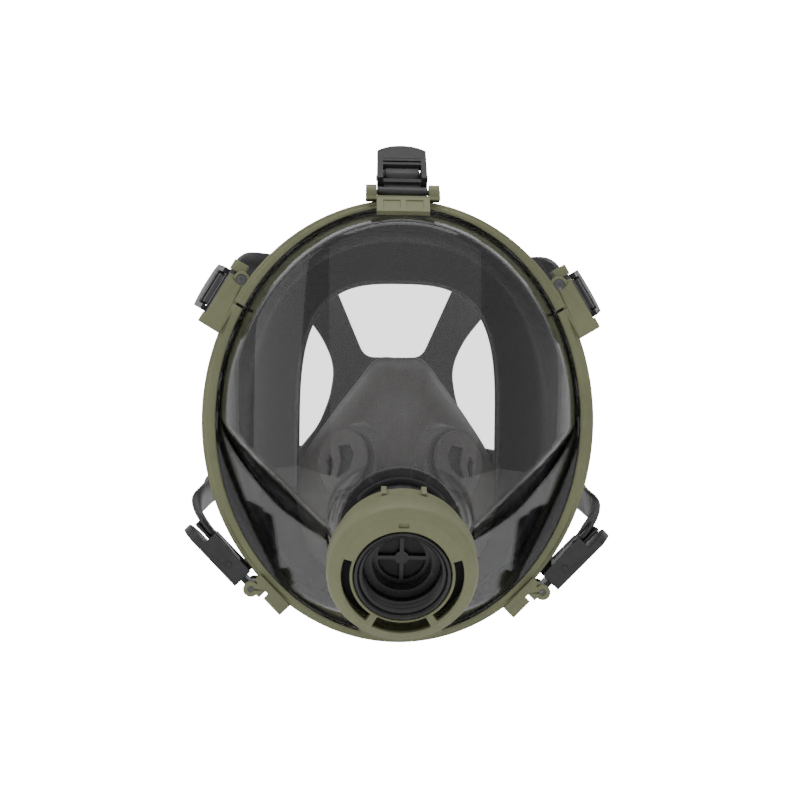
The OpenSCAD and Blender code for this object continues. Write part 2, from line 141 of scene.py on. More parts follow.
# a slab from flat faces, with soft edges
def thicken(bm, way, edge):
    grown = bmesh.ops.extrude_face_region(bm, geom=bm.faces[:])["geom"]
    moved = [v for v in grown if isinstance(v, bmesh.types.BMVert)]
    bmesh.ops.translate(bm, verts=moved, vec=Vector(way) * mm)
    bmesh.ops.recalc_face_normals(bm, faces=bm.faces)
    sharp = [e for e in bm.edges if e.calc_face_angle(0) > 1.2]
    bmesh.ops.bevel(bm, geom=sharp, offset=edge * mm, segments=3, affect="EDGES",
                    profile=0.5, material=-1)


# a ring turned around the z axis from a closed outline of radius and height, in mm
def turnedRing(bm, outline, steps):
    loop = [bm.verts.new((r * mm, 0, z * mm)) for r, z in outline]
    edges = [bm.edges.new((v, loop[(i + 1) % len(loop)])) for i, v in enumerate(loop)]
    bmesh.ops.spin(bm, geom=loop + edges, cent=(0, 0, 0), axis=(0, 0, 1),
                   dvec=(0, 0, 0), angle=2 * math.pi, steps=steps, use_merge=True,
                   use_duplicate=False)


def makePiece(name, bm, body, material, replaces=(), smooth=40):
    bmesh.ops.recalc_face_normals(bm, faces=bm.faces)
    mesh = bpy.data.meshes.new(name)
    bm.to_mesh(mesh)
    bm.free()
    piece = bpy.data.objects.new(name, mesh)
    bpy.context.scene.collection.objects.link(piece)
    mesh.materials.append(material)
    mesh.shade_smooth()
    if smooth < 180:
        mesh.set_sharp_from_angle(angle=math.radians(smooth))
    if body:
        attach(piece, body)
    if replaces:
        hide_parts(*replaces)
    return piece


# materials

def addNode(tree, kind, place, **values):
    node = tree.nodes.new(kind)
    node.location = place
    for key, value in values.items():
        if key in node.inputs:
            node.inputs[key].default_value = value
        else:
            setattr(node, key, value)
    return node


# shared group: cloudy colour, fine grain and rubbed edges of moulded parts
def makeSurfaceGroup():
    group = bpy.data.node_groups.new("mouldedSurface", "ShaderNodeTree")
    face = group.interface
    for name, kind, value in (("Color", "NodeSocketColor", (0.5, 0.5, 0.5, 1)),
                              ("Worn Color", "NodeSocketColor", (0.6, 0.6, 0.6, 1)),
                              ("Roughness", "NodeSocketFloat", 0.5),
                              ("Grain Scale", "NodeSocketFloat", 1500.0),
                              ("Cloud Scale", "NodeSocketFloat", 30.0),
                              ("Wear", "NodeSocketFloat", 0.3),
                              ("Dust", "NodeSocketFloat", 0.1)):
        socket = face.new_socket(name=name, in_out="INPUT", socket_type=kind)
        socket.default_value = value
    for name, kind in (("Color", "NodeSocketColor"), ("Roughness", "NodeSocketFloat"),
                       ("Height", "NodeSocketFloat")):
        face.new_socket(name=name, in_out="OUTPUT", socket_type=kind)
    inputs = addNode(group, "NodeGroupInput", (-900, 0))
    outputs = addNode(group, "NodeGroupOutput", (700, 0))
    place = addNode(group, "ShaderNodeTexCoord", (-900, -300))
    grain = addNode(group, "ShaderNodeTexNoise", (-650, -300), Detail=3.0, Roughness=0.6)
    cloud = addNode(group, "ShaderNodeTexNoise", (-650, 150), Detail=4.0, Roughness=0.55)
    scuff = addNode(group, "ShaderNodeTexNoise", (-650, -550), Scale=160.0, Detail=5.0)
    shape = addNode(group, "ShaderNodeNewGeometry", (-650, -800))
    edge = addNode(group, "ShaderNodeMapRange", (-420, -700), **{
        "From Min": 0.53, "From Max": 0.66})
    worn = addNode(group, "ShaderNodeMath", (-200, -600), operation="MULTIPLY")
    amount = addNode(group, "ShaderNodeMath", (0, -600), operation="MULTIPLY")
    dusty = addNode(group, "ShaderNodeMapRange", (-420, -400), **{
        "From Min": 0.45, "From Max": 0.75})
    dustAmount = addNode(group, "ShaderNodeMath", (-200, -400), operation="MULTIPLY")
    shade = addNode(group, "ShaderNodeMapRange", (-420, 200), **{
        "From Min": 0.3, "From Max": 0.7, "To Min": 0.86, "To Max": 1.12})
    tint = addNode(group, "ShaderNodeMix", (-200, 200), data_type="RGBA",
                   blend_type="MULTIPLY")
    tint.inputs["Factor"].default_value = 1.0
    rub = addNode(group, "ShaderNodeMix", (100, 150), data_type="RGBA")
    dust = addNode(group, "ShaderNodeMix", (350, 150), data_type="RGBA")
    dust.inputs["B"].default_value = (0.42, 0.42, 0.4, 1)
    rough = addNode(group, "ShaderNodeMath", (100, -150), operation="MULTIPLY_ADD")
    rough.inputs[1].default_value = 0.18
    link = group.links.new
    for texture, scale in ((grain, "Grain Scale"), (cloud, "Cloud Scale")):
        link(inputs.outputs[scale], texture.inputs["Scale"])
    for texture in (grain, cloud, scuff):
        link(place.outputs["Object"], texture.inputs["Vector"])
    link(cloud.outputs[0], shade.inputs["Value"])
    link(inputs.outputs["Color"], tint.inputs["A"])
    link(shade.outputs["Result"], tint.inputs["B"])
    link(shape.outputs["Pointiness"], edge.inputs["Value"])
    link(edge.outputs["Result"], worn.inputs[0])
    link(scuff.outputs[0], worn.inputs[1])
    link(worn.outputs[0], amount.inputs[0])
    link(inputs.outputs["Wear"], amount.inputs[1])
    link(tint.outputs["Result"], rub.inputs["A"])
    link(inputs.outputs["Worn Color"], rub.inputs["B"])
    link(amount.outputs[0], rub.inputs["Factor"])
    link(scuff.outputs[0], dusty.inputs["Value"])
    link(dusty.outputs["Result"], dustAmount.inputs[0])
    link(inputs.outputs["Dust"], dustAmount.inputs[1])
    link(rub.outputs["Result"], dust.inputs["A"])
    link(dustAmount.outputs[0], dust.inputs["Factor"])
    link(cloud.outputs[0], rough.inputs[0])
    link(inputs.outputs["Roughness"], rough.inputs[2])
    link(dust.outputs["Result"], outputs.inputs["Color"])
    link(rough.outputs[0], outputs.inputs["Roughness"])
    link(grain.outputs[0], outputs.inputs["Height"])
    return group


surfaceGroup = makeSurfaceGroup()


def makeMaterial(name, look):
    material = bpy.data.materials.new(name)
    material.use_nodes = True
    tree = material.node_tree
    shader = tree.nodes["Principled BSDF"]
    surface = addNode(tree, "ShaderNodeGroup", (-500, 100), node_tree=surfaceGroup)
    surface.inputs["Color"].default_value = (*look["color"], 1)
    surface.inputs["Worn Color"].default_value = (*look["worn"], 1)
    for key, socket in (("roughness", "Roughness"), ("grain", "Grain Scale"),
                        ("cloud", "Cloud Scale"), ("wear", "Wear"), ("dust", "Dust")):
        surface.inputs[socket].default_value = look[key]
    bump = addNode(tree, "ShaderNodeBump", (-250, -200), Strength=look["bump"],
                   Distance=0.00008)
    tree.links.new(surface.outputs["Color"], shader.inputs["Base Color"])
    tree.links.new(surface.outputs["Roughness"], shader.inputs["Roughness"])
    tree.links.new(surface.outputs["Height"], bump.inputs["Height"])
    tree.links.new(bump.outputs["Normal"], shader.inputs["Normal"])
    for socket, value in look.get("shader", {}).items():
        shader.inputs[socket].default_value = value
    return material


looks = {
    "olive_plastic": {"color": (0.165, 0.172, 0.09), "worn": (0.26, 0.265, 0.165),
                      "roughness": 0.45, "grain": 4200.0, "cloud": 22.0, "wear": 0.5,
                      "dust": 0.03, "bump": 0.35},
    "black_rubber": {"color": (0.013, 0.012, 0.015), "worn": (0.035, 0.034, 0.038),
                     "roughness": 0.34, "grain": 3600.0, "cloud": 35.0, "wear": 0.4,
                     "dust": 0.008, "bump": 0.04},
    "grey_rubber": {"color": (0.06, 0.053, 0.05), "worn": (0.1, 0.093, 0.09),
                    "roughness": 0.38, "grain": 4000.0, "cloud": 28.0, "wear": 0.3,
                    "dust": 0.012, "bump": 0.03},
    "charcoal_plastic": {"color": (0.014, 0.014, 0.016), "worn": (0.06, 0.06, 0.065),
                         "roughness": 0.33, "grain": 4200.0, "cloud": 40.0, "wear": 0.6,
                         "dust": 0.02, "bump": 0.3},
    "black_plastic": {"color": (0.006, 0.006, 0.007), "worn": (0.03, 0.03, 0.032),
                      "roughness": 0.24, "grain": 5000.0, "cloud": 40.0, "wear": 0.4,
                      "dust": 0.02, "bump": 0.12},
    "valve_rubber": {"color": (0.003, 0.003, 0.003), "worn": (0.01, 0.01, 0.01),
                     "roughness": 0.5, "grain": 3800.0, "cloud": 60.0, "wear": 0.2,
                     "dust": 0.005, "bump": 0.1},
    "dark_steel": {"color": (0.09, 0.09, 0.095), "worn": (0.4, 0.4, 0.4),
                   "roughness": 0.25, "grain": 900.0, "cloud": 90.0, "wear": 0.8,
                   "dust": 0.02, "bump": 0.05, "shader": {"Metallic": 0.9}},
}
materials = {name: makeMaterial(name, look) for name, look in looks.items()}


# clear hard lens, faintly smoked, with fine wiping marks
def makeLens():
    material = bpy.data.materials.new("clear_lens")
    material.use_nodes = True
    tree = material.node_tree
    shader = tree.nodes["Principled BSDF"]
    place = addNode(tree, "ShaderNodeTexCoord", (-900, 0))
    marks = addNode(tree, "ShaderNodeTexNoise", (-700, 0), Scale=45.0, Detail=6.0,
                    Roughness=0.7)
    rough = addNode(tree, "ShaderNodeMapRange", (-450, 0), **{
        "From Min": 0.6, "From Max": 0.9, "To Min": 0.0, "To Max": 0.03})
    tree.links.new(place.outputs["Object"], marks.inputs["Vector"])
    tree.links.new(marks.outputs[0], rough.inputs["Value"])
    tree.links.new(rough.outputs["Result"], shader.inputs["Roughness"])
    shader.inputs["Base Color"].default_value = (0.93, 0.94, 0.95, 1)
    shader.inputs["Transmission Weight"].default_value = 1.0
    shader.inputs["IOR"].default_value = 1.46
    # lamps shine through the lens on to what it covers
    ray = addNode(tree, "ShaderNodeLightPath", (100, 400))
    clear = addNode(tree, "ShaderNodeBsdfTransparent", (100, -200))
    clear.inputs["Color"].default_value = (0.84, 0.85, 0.86, 1)
    mix = addNode(tree, "ShaderNodeMixShader", (350, 100))
    tree.links.new(ray.outputs["Is Shadow Ray"], mix.inputs[0])
    tree.links.new(shader.outputs["BSDF"], mix.inputs[1])
    tree.links.new(clear.outputs["BSDF"], mix.inputs[2])
    tree.links.new(mix.outputs["Shader"], tree.nodes["Material Output"].inputs["Surface"])
    return material


materials["clear_lens"] = makeLens()
print("materials made")

# the rim's oval in mm, with its places by angle from the top
# sweep takes its sides back, and lip is its width over the visor, which spread widens there
rim = {"a": 103.0, "b": 113.0, "sweep": 30.0, "split": 57.5, "gap": 0.4,
       "temple": 57.0, "cheek": 137.0, "lip": 3.6, "spread": 3.4}


def rimOut(t):
    s, c = sinCos(t)
    return Vector((s / rim["a"], 0, c / rim["b"])).normalized()


# a point u outside the oval and v behind it
def rimPoint(t, u=0.0, v=0.0):
    s, c = sinCos(t)
    return (Vector((rim["a"] * s, rim["sweep"] * s * s + v, rim["b"] * c))
            + rimOut(t) * u)


# 0 at the top and bottom of the oval, 1 at its sides
def sideways(x, z):
    a, b = x / rim["a"], z / rim["b"]
    return a * a / max(1e-9, a * a + b * b)


def lipWidth(side):
    return rim["lip"] + rim["spread"] * side


# visor: a round front, flat cheek panels, steep walls and a flat boss round its neck hole
# fold is the line where the front turns down to the left cheek panel, falling by fall a mm
# panel is that panel's plane: its height at the middle, and its slopes
visor = {"rise": 42.0, "radius": 100.0, "farSquared": 9400.0, "middle": -20.0, "bow": 900.0,
         "wall": 2.4, "slope": 2.8, "flange": 2.6, "inset": 2.7, "neckZ": -53.0,
         "holeX": 25.3, "holeZ": 27.2, "nearHole": 32.0, "boss": 40.3, "bossTilt": 4.2,
         "bossEdge": 37.0, "bossFade": 5.0, "brow": 2.4, "crease": 1.6,
         "fold": {"x": -0.674, "fromX": -89.0, "z": -0.738, "fromZ": -4.0, "fall": 2.0},
         "panel": {"height": 73.5, "x": 1.0366, "z": 0.2284},
         "offPanel": 200.0, "around": 300, "rows": 84}


def frontHeight(x, z):
    across = math.sqrt(visor["radius"] ** 2 - min(x * x, visor["farSquared"]))
    return visor["rise"] - visor["radius"] + across - (z - visor["middle"]) ** 2 / visor["bow"]


def flangeHeight(x, z):
    return visor["flange"] - rim["sweep"] * sideways(x, z)


def wallHeight(x, z):
    q = math.hypot(x / rim["a"], z / rim["b"])
    away = (1 / max(q, 1e-6) - 1) * math.hypot(x, z)
    inner = max(0.0, away - 1 - lipWidth(sideways(x, z)))
    return visor["slope"] * inner + flangeHeight(x, z)


def cheekHeight(x, z):
    fold, slab = visor["fold"], visor["panel"]
    w = -abs(x)
    d = fold["x"] * (w - fold["fromX"]) + fold["z"] * (z - fold["fromZ"])
    if d < 0:
        return visor["offPanel"]
    panel = slab["height"] + slab["x"] * w + slab["z"] * z
    return -softMin(-panel, -(frontHeight(x, z) - fold["fall"] * d), visor["crease"])


def visorHeight(x, z):
    h = softMin(softMin(frontHeight(x, z), cheekHeight(x, z), visor["crease"]),
                wallHeight(x, z), visor["brow"])
    h = max(h, flangeHeight(x, z))
    boss = visor["boss"] + math.tan(math.radians(visor["bossTilt"])) * (z - visor["neckZ"])
    away = math.hypot(x, z - visor["neckZ"])
    f = smoothStep((visor["bossEdge"] - away) / visor["bossFade"])
    return lerp(h, boss, f)


def makeVisor():
    def place(u, v):
        s, c = sinCos(360 * u)
        edge = rimPoint(360 * u, -visor["inset"])
        x = lerp(visor["holeX"] * s, edge.x, v)
        z = lerp(visor["neckZ"] + visor["holeZ"] * c, edge.z, v)
        return (x, -visorHeight(x, z), z)

    bm = mappedGrid(visor["around"], visor["rows"], place)
    bmesh.ops.recalc_face_normals(bm, faces=bm.faces)
    faces = bm.faces[:]
    if sum(f.normal.y * f.calc_area() for f in faces) > 0:
        bmesh.ops.reverse_faces(bm, faces=faces)
    back = bmesh.ops.duplicate(bm, geom=faces)["geom"]
    moved = [g for g in back if isinstance(g, bmesh.types.BMVert)]
    for v in moved:
        v.co.y += visor["wall"] * mm
    bmesh.ops.reverse_faces(bm, faces=[g for g in back if isinstance(g, bmesh.types.BMFace)])
    edges = [e for e in bm.edges if e.is_boundary]
    nearHole = [e for e in edges if math.hypot(
        e.verts[0].co.x, e.verts[0].co.z - visor["neckZ"] * mm) < visor["nearHole"] * mm]
    farRim = [e for e in edges if e not in set(nearHole)]
    for ring in (nearHole, farRim):
        bmesh.ops.bridge_loops(bm, edges=ring)
    return makePiece("visorLens", bm, "mask", materials["clear_lens"],
                     ["visor"], smooth=50)


makeVisor()
print("visor made")

# rim: its section in mm, out from the oval and back from the visor's front flange
# from bendAt inwards the section is drawn to the lip's width, which it has at full
rimSection = {"points": [(0, -4.3), (-1.6, -4.3), (-2.3, -5), (-7, -5), (-7, -3.2),
                         (-2, -3), (-2, 5), (-5, 5.1), (-5, 7), (0, 7), (0, 4.6),
                         (0.7, 4.2), (0.7, 1.2), (0, 0.8)],
              "radii": [0.9, 0.3, 0.3, 0.9, 0.6, 0.5, 0.5, 0.6, 0.8, 1.0, 0.3, 0.3, 0.3,
                        0.3], "steps": 3, "bendAt": -2.0, "full": 7.0}


def rimRing(t, outline):
    bendAt, full = rimSection["bendAt"], rimSection["full"]
    stretch = (lipWidth(sinCos(t)[0] ** 2) + bendAt) / (full + bendAt)
    ring = []
    for p in outline:
        u = p.x if p.x > bendAt else bendAt + (p.x - bendAt) * stretch
        ring.append(rimPoint(t, u, p.y))
    return ring


def makeRimHalf(name, middle, reach, stations, node):
    outline = roundCorners(rimSection["points"], rimSection["radii"], rimSection["steps"])
    rings = [rimRing(middle + reach * (2 * i / stations - 1), outline)
             for i in range(stations + 1)]
    return makePiece(name, ringTube(rings), "mask",
                     materials["olive_plastic"], [node], smooth=50)


makeRimHalf("rimUpper", 0, rim["split"] - rim["gap"], 120, "rim_upper")
makeRimHalf("rimLower", 180, 180 - rim["split"] - rim["gap"], 220, "rim_lower")
print("rim made")

# face seal: from the rim back, and in to the opening for the face
# a bead is its height, its place along the section and its length, all but the first as shares
seal = {"w": 52.0, "top": 72.0, "bottom": 82.0, "squareness": 3.2, "depth": 42.0,
        "wall": 2.6, "inset": 2.9, "lip": 30.0, "lipSide": 14.0, "seam": 0.45,
        "beads": [(0.55, 0.985, 0.022), (0.22, 0.62, 0.012)], "taper": 2.5, "tip": 0.35,
        "proud": 1.2, "edgeIn": -4.0, "edgeFront": 7.2, "edgeBack": 10.0,
        "around": 240, "steps": 5}


def faceOval(t):
    s, c = sinCos(t)
    n = seal["squareness"]
    k = (abs(s) ** n + abs(c) ** n) ** (-1 / n)
    half = (seal["top"] + seal["bottom"]) / 2
    return Vector((seal["w"] * s * k, 0, half * c * k + (seal["top"] - seal["bottom"]) / 2))


def sealPath(length, lip):
    depth = seal["depth"]
    return [(0, 1.3, 0), (3.4, 1.4, 0), (4.9, 4.5, 0), (5.2, 12, 0), (5.8, 20, 0),
            (8, 30, 0), (4 + 0.12 * length, 37, 0), (4 + 0.2 * length, 40.5, 0),
            (2 + 0.34 * length, depth, 0), (0.5 * length, depth - 1.5, 0),
            (0.68 * length, lerp(lip, depth, 0.6), 0),
            (0.86 * length, lerp(lip, depth, 0.24), 0), (length, lip, 0)]


# the seal's outline in one section, with a bead at its inner edge and one on its way
def sealOutline(length, lip):
    path = curveThrough(sealPath(length, lip), seal["steps"])
    last = len(path) - 1
    near, far = [], []
    for i, p in enumerate(path):
        d = (path[min(last, i + 1)] - path[max(0, i - 1)]).normalized()
        side = Vector((-d.y, d.x, 0))
        f = i / last
        half = seal["wall"] / 2
        for height, middle, reach in seal["beads"]:
            half += height * math.exp(-((f - middle) / reach) ** 2)
        half *= clamp((last - i) / seal["taper"] + seal["tip"])
        near.append(p - side * half)
        far.append(p + side * half)
    return near + far[::-1]


def sealRing(t):
    start = rimPoint(t, -seal["inset"])
    end = faceOval(t)
    way = Vector((end.x - start.x, 0, end.z - start.z))
    length = way.length
    way.normalize()
    lip = seal["lip"] - seal["lipSide"] * sinCos(t)[0] ** 2
    seam = seal["seam"] if t == 0 else 0.0
    return [start + way * p.x + Vector((0, p.y - seam, 0)) for p in sealOutline(length, lip)]


# the seal's thick edge, which shows as a thin black line behind the rim
def sealEdgeRing(t):
    low, high = seal["edgeIn"], seal["proud"]
    front, back = seal["edgeFront"], seal["edgeBack"]
    outline = roundCorners([(low, front, 0), (high, front, 0), (high, back, 0),
                            (low, back, 0)], [1.0], 3)
    return [rimPoint(t, p.x, p.y) for p in outline]


def makeSeal():
    count = seal["around"]
    rings = [sealRing(360 * i / count) for i in range(count)]
    bm = ringTube(rings, loop=True)
    edge = ringTube([sealEdgeRing(360 * i / count) for i in range(count)], loop=True)
    part = bpy.data.meshes.new("sealEdge")
    edge.to_mesh(part)
    edge.free()
    bm.from_mesh(part)
    bpy.data.meshes.remove(part)
    return makePiece("faceSeal", bm, "mask", materials["black_rubber"],
                     ["face_seal"], smooth=60)


makeSeal()
print("face seal made")

# inner mask: from its edge on the face, listed down one side, to the hole for the neck
# swell and pull shape its way there, a ridge runs down the nose, and its edge is rolled
cup = {"edge": [(0, 17, 32.5), (12, 17, 32), (22, 20, 20), (36, 27, 1), (47, 33, -16),
                (52, 36, -32), (51, 34, -52), (43, 30, -72), (24, 25, -86), (0, 23, -90)],
       "frontY": -30.0, "holeZ": -49.0, "holeR": 24.15, "holeTall": 1.086,
       "swell": 1.7, "pull": 0.12, "rows": 54, "wall": 2.2, "steps": 12,
       "ridge": {"height": 2.6, "width": 7.5, "low": -26.0, "rise": 24.0, "end": 0.86},
       "roll": {"height": 1.2, "at": 0.97, "reach": 0.03}}
valve = {"at": (27.0, -21.5, -20.0), "turn": 38.0, "lift": 8.0, "body": 13.1,
         "boss": 17.5, "fade": 3.5, "sunk": 0.4, "deep": 12.0, "backY": 10.0}


def valveTurn():
    return (Matrix.Rotation(math.radians(valve["turn"]), 4, "Z")
            @ Matrix.Rotation(math.radians(90 - valve["lift"]), 4, "X"))


# where a valve sits on its side, and the direction that it faces
def valveFrame(side):
    out = valveTurn() @ Vector((0, 0, 1))
    at = Vector(valve["at"])
    return Vector((at.x * side, at.y, at.z)), Vector((out.x * side, out.y, out.z))


def cupPoint(edge, v):
    ridge, roll = cup["ridge"], cup["roll"]
    way = Vector((edge.x, 0, edge.z - cup["holeZ"])).normalized()
    f = v ** cup["swell"] * (1 - cup["pull"] * math.sin(math.pi * v))
    p = Vector((lerp(way.x * cup["holeR"], edge.x, v), lerp(cup["frontY"], edge.y, f),
                lerp(cup["holeZ"] + way.z * cup["holeR"] * cup["holeTall"], edge.z, v)))
    # nose ridge down the upper front, and a rolled edge against the face
    nose = math.exp(-(p.x / ridge["width"]) ** 2)
    nose *= smoothStep((p.z - ridge["low"]) / ridge["rise"])
    p.y -= ridge["height"] * nose * (1 - smoothStep((v - ridge["end"]) / (1 - ridge["end"])))
    p.y += roll["height"] * math.exp(-((v - roll["at"]) / roll["reach"]) ** 2)
    # flat bosses under the valve cages
    for side in (-1, 1):
        at, out = valveFrame(side)
        far = (p - at) - out * (p - at).dot(out)
        f = smoothStep((valve["boss"] + valve["fade"] - far.length) / valve["fade"])
        if f > 0 and p.y < valve["backY"]:
            p -= out * ((p - at).dot(out) + valve["sunk"]) * f
    return p


def makeInnerMask():
    half = curveThrough(cup["edge"], cup["steps"])
    loop = half + [Vector((-p.x, p.y, p.z)) for p in half[-2:0:-1]]
    n = len(loop)

    def place(u, v):
        return cupPoint(loop[round(u * n) % n], v)

    bm = mappedGrid(n, cup["rows"], place)
    # round holes for the cages' skirts
    reach, deep = valve["body"] * mm, valve["deep"] * mm
    for side in (-1, 1):
        at, out = valveFrame(side)
        at = at * mm

        def near(co, far):
            along = (co - at).dot(out)
            return ((co - at) - out * along).length < far and abs(along) < deep

        inside = [f for f in bm.faces if near(f.calc_center_median(), reach)]
        bmesh.ops.delete(bm, geom=inside, context="FACES")
        for v in bm.verts:
            if v.is_boundary and near(v.co, reach * 1.3):
                d = (v.co - at) - out * (v.co - at).dot(out)
                v.co += d.normalized() * (reach * 1.002 - d.length)
    bmesh.ops.recalc_face_normals(bm, faces=bm.faces)
    if sum(f.normal.y * f.calc_area() for f in bm.faces) > 0:
        bmesh.ops.reverse_faces(bm, faces=bm.faces)
    piece = makePiece("innerMask", bm, "mask", materials["grey_rubber"],
                      ["inner_mask"], smooth=180)
    wall = piece.modifiers.new("wall", "SOLIDIFY")
    wall.thickness = cup["wall"] * mm
    wall.offset = -1
    wall.use_even_offset = False
    return piece


makeInnerMask()
print("inner mask made")

# valve cages: a round plate with two bent windows on a short skirt
cage = {"radius": 15.5, "low": 1.6, "thick": 1.9, "edge": 0.6, "round": 0.7, "steps": 60,
        "skirt": [(11.4, -6), (13.0, -6), (13.0, 1.9), (11.4, 1.9)],
        "windows": [[(3.3, 6.8), (-3.8, 8.0), (-6.8, 3.2), (-5.3, -3.9), (2.3, -9.3),
                     (0.8, -0.7)],
                    [(9.4, -1.0), (7.8, 2.6), (5.0, -2.0), (6.4, -8.6), (8.4, -7.6),
                     (8.0, -4.4)]]}


def makeCage(side):
    circle = []
    for i in range(cage["steps"]):
        s, c = sinCos(360 * i / cage["steps"])
        circle.append((cage["radius"] * c, cage["radius"] * s, cage["low"]))
    windows = [roundCorners([(x, z, cage["low"]) for x, z in w], [cage["round"]], 2)
               for w in cage["windows"]]
    bm = filledOutline([circle] + windows)
    thicken(bm, (0, 0, cage["thick"]), cage["edge"])
    turnedRing(bm, cage["skirt"], cage["steps"])
    mirror = Matrix.Scale(side, 4, (1, 0, 0))
    place = mirror @ Matrix.Translation(Vector(valve["at"]) * mm) @ valveTurn()
    bmesh.ops.transform(bm, matrix=place, verts=bm.verts)
    word = "Left" if side < 0 else "Right"
    return makePiece("valveCage" + word, bm, "mask",
                     materials["grey_rubber"], ["valve_cage_" + word.lower()])


makeCage(-1)
makeCage(1)
print("valve cages made")

# thread insert: a thin lip, three round ridges for the thread, and the gasket's pocket
# radii, and heights from its open end, whose middle lies at mouth and which looks down by tilt
insert = {"outer": 23.0, "top": 0.6, "bottom": -27.6, "root": 20.4, "crest": 18.7,
          "pitch": 3.63, "first": -1.9, "turns": 3, "steps": 120,
          "pocket": 19.2, "threadEnd": -12.9, "seat": -15.0, "bore": 14.0,
          "mouth": (0, -85, -72.3), "tilt": 23.0}


def connectorPlace():
    s, c = sinCos(insert["tilt"])
    turn = Matrix(((1, 0, 0), (0, -s, -c), (0, c, -s))).to_4x4()
    return Matrix.Translation(Vector(insert["mouth"]) * mm) @ turn


def makeInsert():
    root, crest, outer = insert["root"], insert["crest"], insert["outer"]
    outline = [(outer, insert["bottom"]), (outer, -0.4), (outer - 0.3, 0.3),
               (outer - 0.9, insert["top"]), (outer - 1.5, 0.3), (root + 0.6, -0.6),
               (root, -1.4)]
    for i in range(insert["turns"]):
        z = insert["first"] - i * insert["pitch"]
        outline += [(root, z), (root - 0.5, z - 0.2), (crest + 0.3, z - 0.8),
                    (crest, z - 1.2), (crest + 0.3, z - 1.6), (root - 0.5, z - 2.2),
                    (root, z - 2.4)]
    pocket, threadEnd, seat = insert["pocket"], insert["threadEnd"], insert["seat"]
    outline += [(root, threadEnd), (pocket, threadEnd - 0.2), (pocket, seat),
                (insert["bore"], seat), (insert["bore"], insert["bottom"])]
    bm = bmesh.new()
    turnedRing(bm, outline, insert["steps"])
    bmesh.ops.transform(bm, matrix=connectorPlace(), verts=bm.verts)
    return makePiece("threadInsert", bm, "mask",
                     materials["black_plastic"], ["thread_insert"], smooth=45)


makeInsert()
print("thread insert made")

# rubber collar that seals the inner mask to the neck
collar = {"inner": 24.05, "outer": 26.4, "front": -51.0, "back": -68.0, "steps": 96}


def makeCollar():
    low, high = collar["inner"], collar["outer"]
    front, back = collar["front"], collar["back"]
    outline = [(low, back), (high - 0.5, back), (high, back + 0.6), (high, front - 1.6),
               (high + 0.7, front - 1.1), (high + 0.7, front - 0.4), (high, front),
               (low, front)]
    bm = bmesh.new()
    turnedRing(bm, outline, collar["steps"])
    bmesh.ops.transform(bm, matrix=connectorPlace(), verts=bm.verts)
    return makePiece("neckCollar", bm, "mask", materials["black_rubber"])


makeCollar()
print("collar made")

# buckle places

hingePins = {"top": (5.0, 8.0), "temple": (8.0, 9.0), "cheek": (7.0, 9.0)}
lean = {"top": 58.0, "temple": 12.0}


# origin, hinge axis, outer face and length direction of a buckle, in mm
def buckleFrame(where, side):
    out, back = hingePins[where]
    if where == "top":
        s, c = sinCos(lean["top"])
        return (Vector((0, back, rim["b"] + out)), Vector((1, 0, 0)),
                Vector((0, -c, s)), Vector((0, s, c)))
    t = rim[where]
    n = rimOut(t)
    along = Vector((-n.z, 0, n.x))
    at = rimPoint(t, out, back)
    if where == "temple":
        s, c = sinCos(lean["temple"])
        face, length, axis = n * c - Vector((0, s, 0)), n * s + Vector((0, c, 0)), along
    else:
        face, length, axis = n, along, Vector((0, 1, 0))
    mirror = Vector((side, 1, 1))
    return tuple(v * mirror for v in (at, axis, face, length))


# straps: bands from the harness plate into their buckles, ribbed from partway on
# root is how much wider a strap starts; the shares are of its way to the buckle
strap = {"width": 18.0, "thick": 2.0, "ribPitch": 2.6, "ribHeight": 0.55, "steps": 13,
         "spacing": 0.62, "root": 1.5, "rootShare": 0.16, "ribsFrom": 0.45,
         "ribsGrow": 0.05, "ribsInBuckle": 0.4, "thinInBuckle": 0.85, "bead": 0.25,
         "behind": 4.5, "rollerReach": 4.25, "rollerAt": 17.0}
straps = {
    "top": {"route": [(0, 161, 100), (0, 151, 117), (0, 132, 131), (0, 105, 142),
                      (0, 78, 146)], "from": (1, 0, 0), "reach": 44},
    "temple": {"route": [(63, 138, 84), (79, 116, 85), (87, 99, 83), (92, 83, 78)],
               "from": (0, 0, 1), "reach": 40},
    "cheek": {"route": [(51, 147.5, -27), (75, 134, -30), (93, 113, -34), (100, 90, -38),
                        (103.5, 66, -42), (105, 44, -48)],
              "from": (0.1, 0, 1), "reach": 38},
}


# the part of the strap in its buckle: behind the roller, round it and back out
def strapInBuckle(frameOf, reach):
    at, axis, face, length = frameOf
    spots = [(strap["behind"], z) for z in (reach, 34, 25)]
    for a in (20, -25, -70, -115, -160, -205, -245):
        s, c = sinCos(a)
        spots.append((strap["rollerReach"] * c, strap["rollerAt"] + strap["rollerReach"] * s))
    spots += [(0.6, 22.4), (1.4, 27), (1.9, 34), (1.9, 44)]
    return [at - face * y + length * z for y, z in spots]


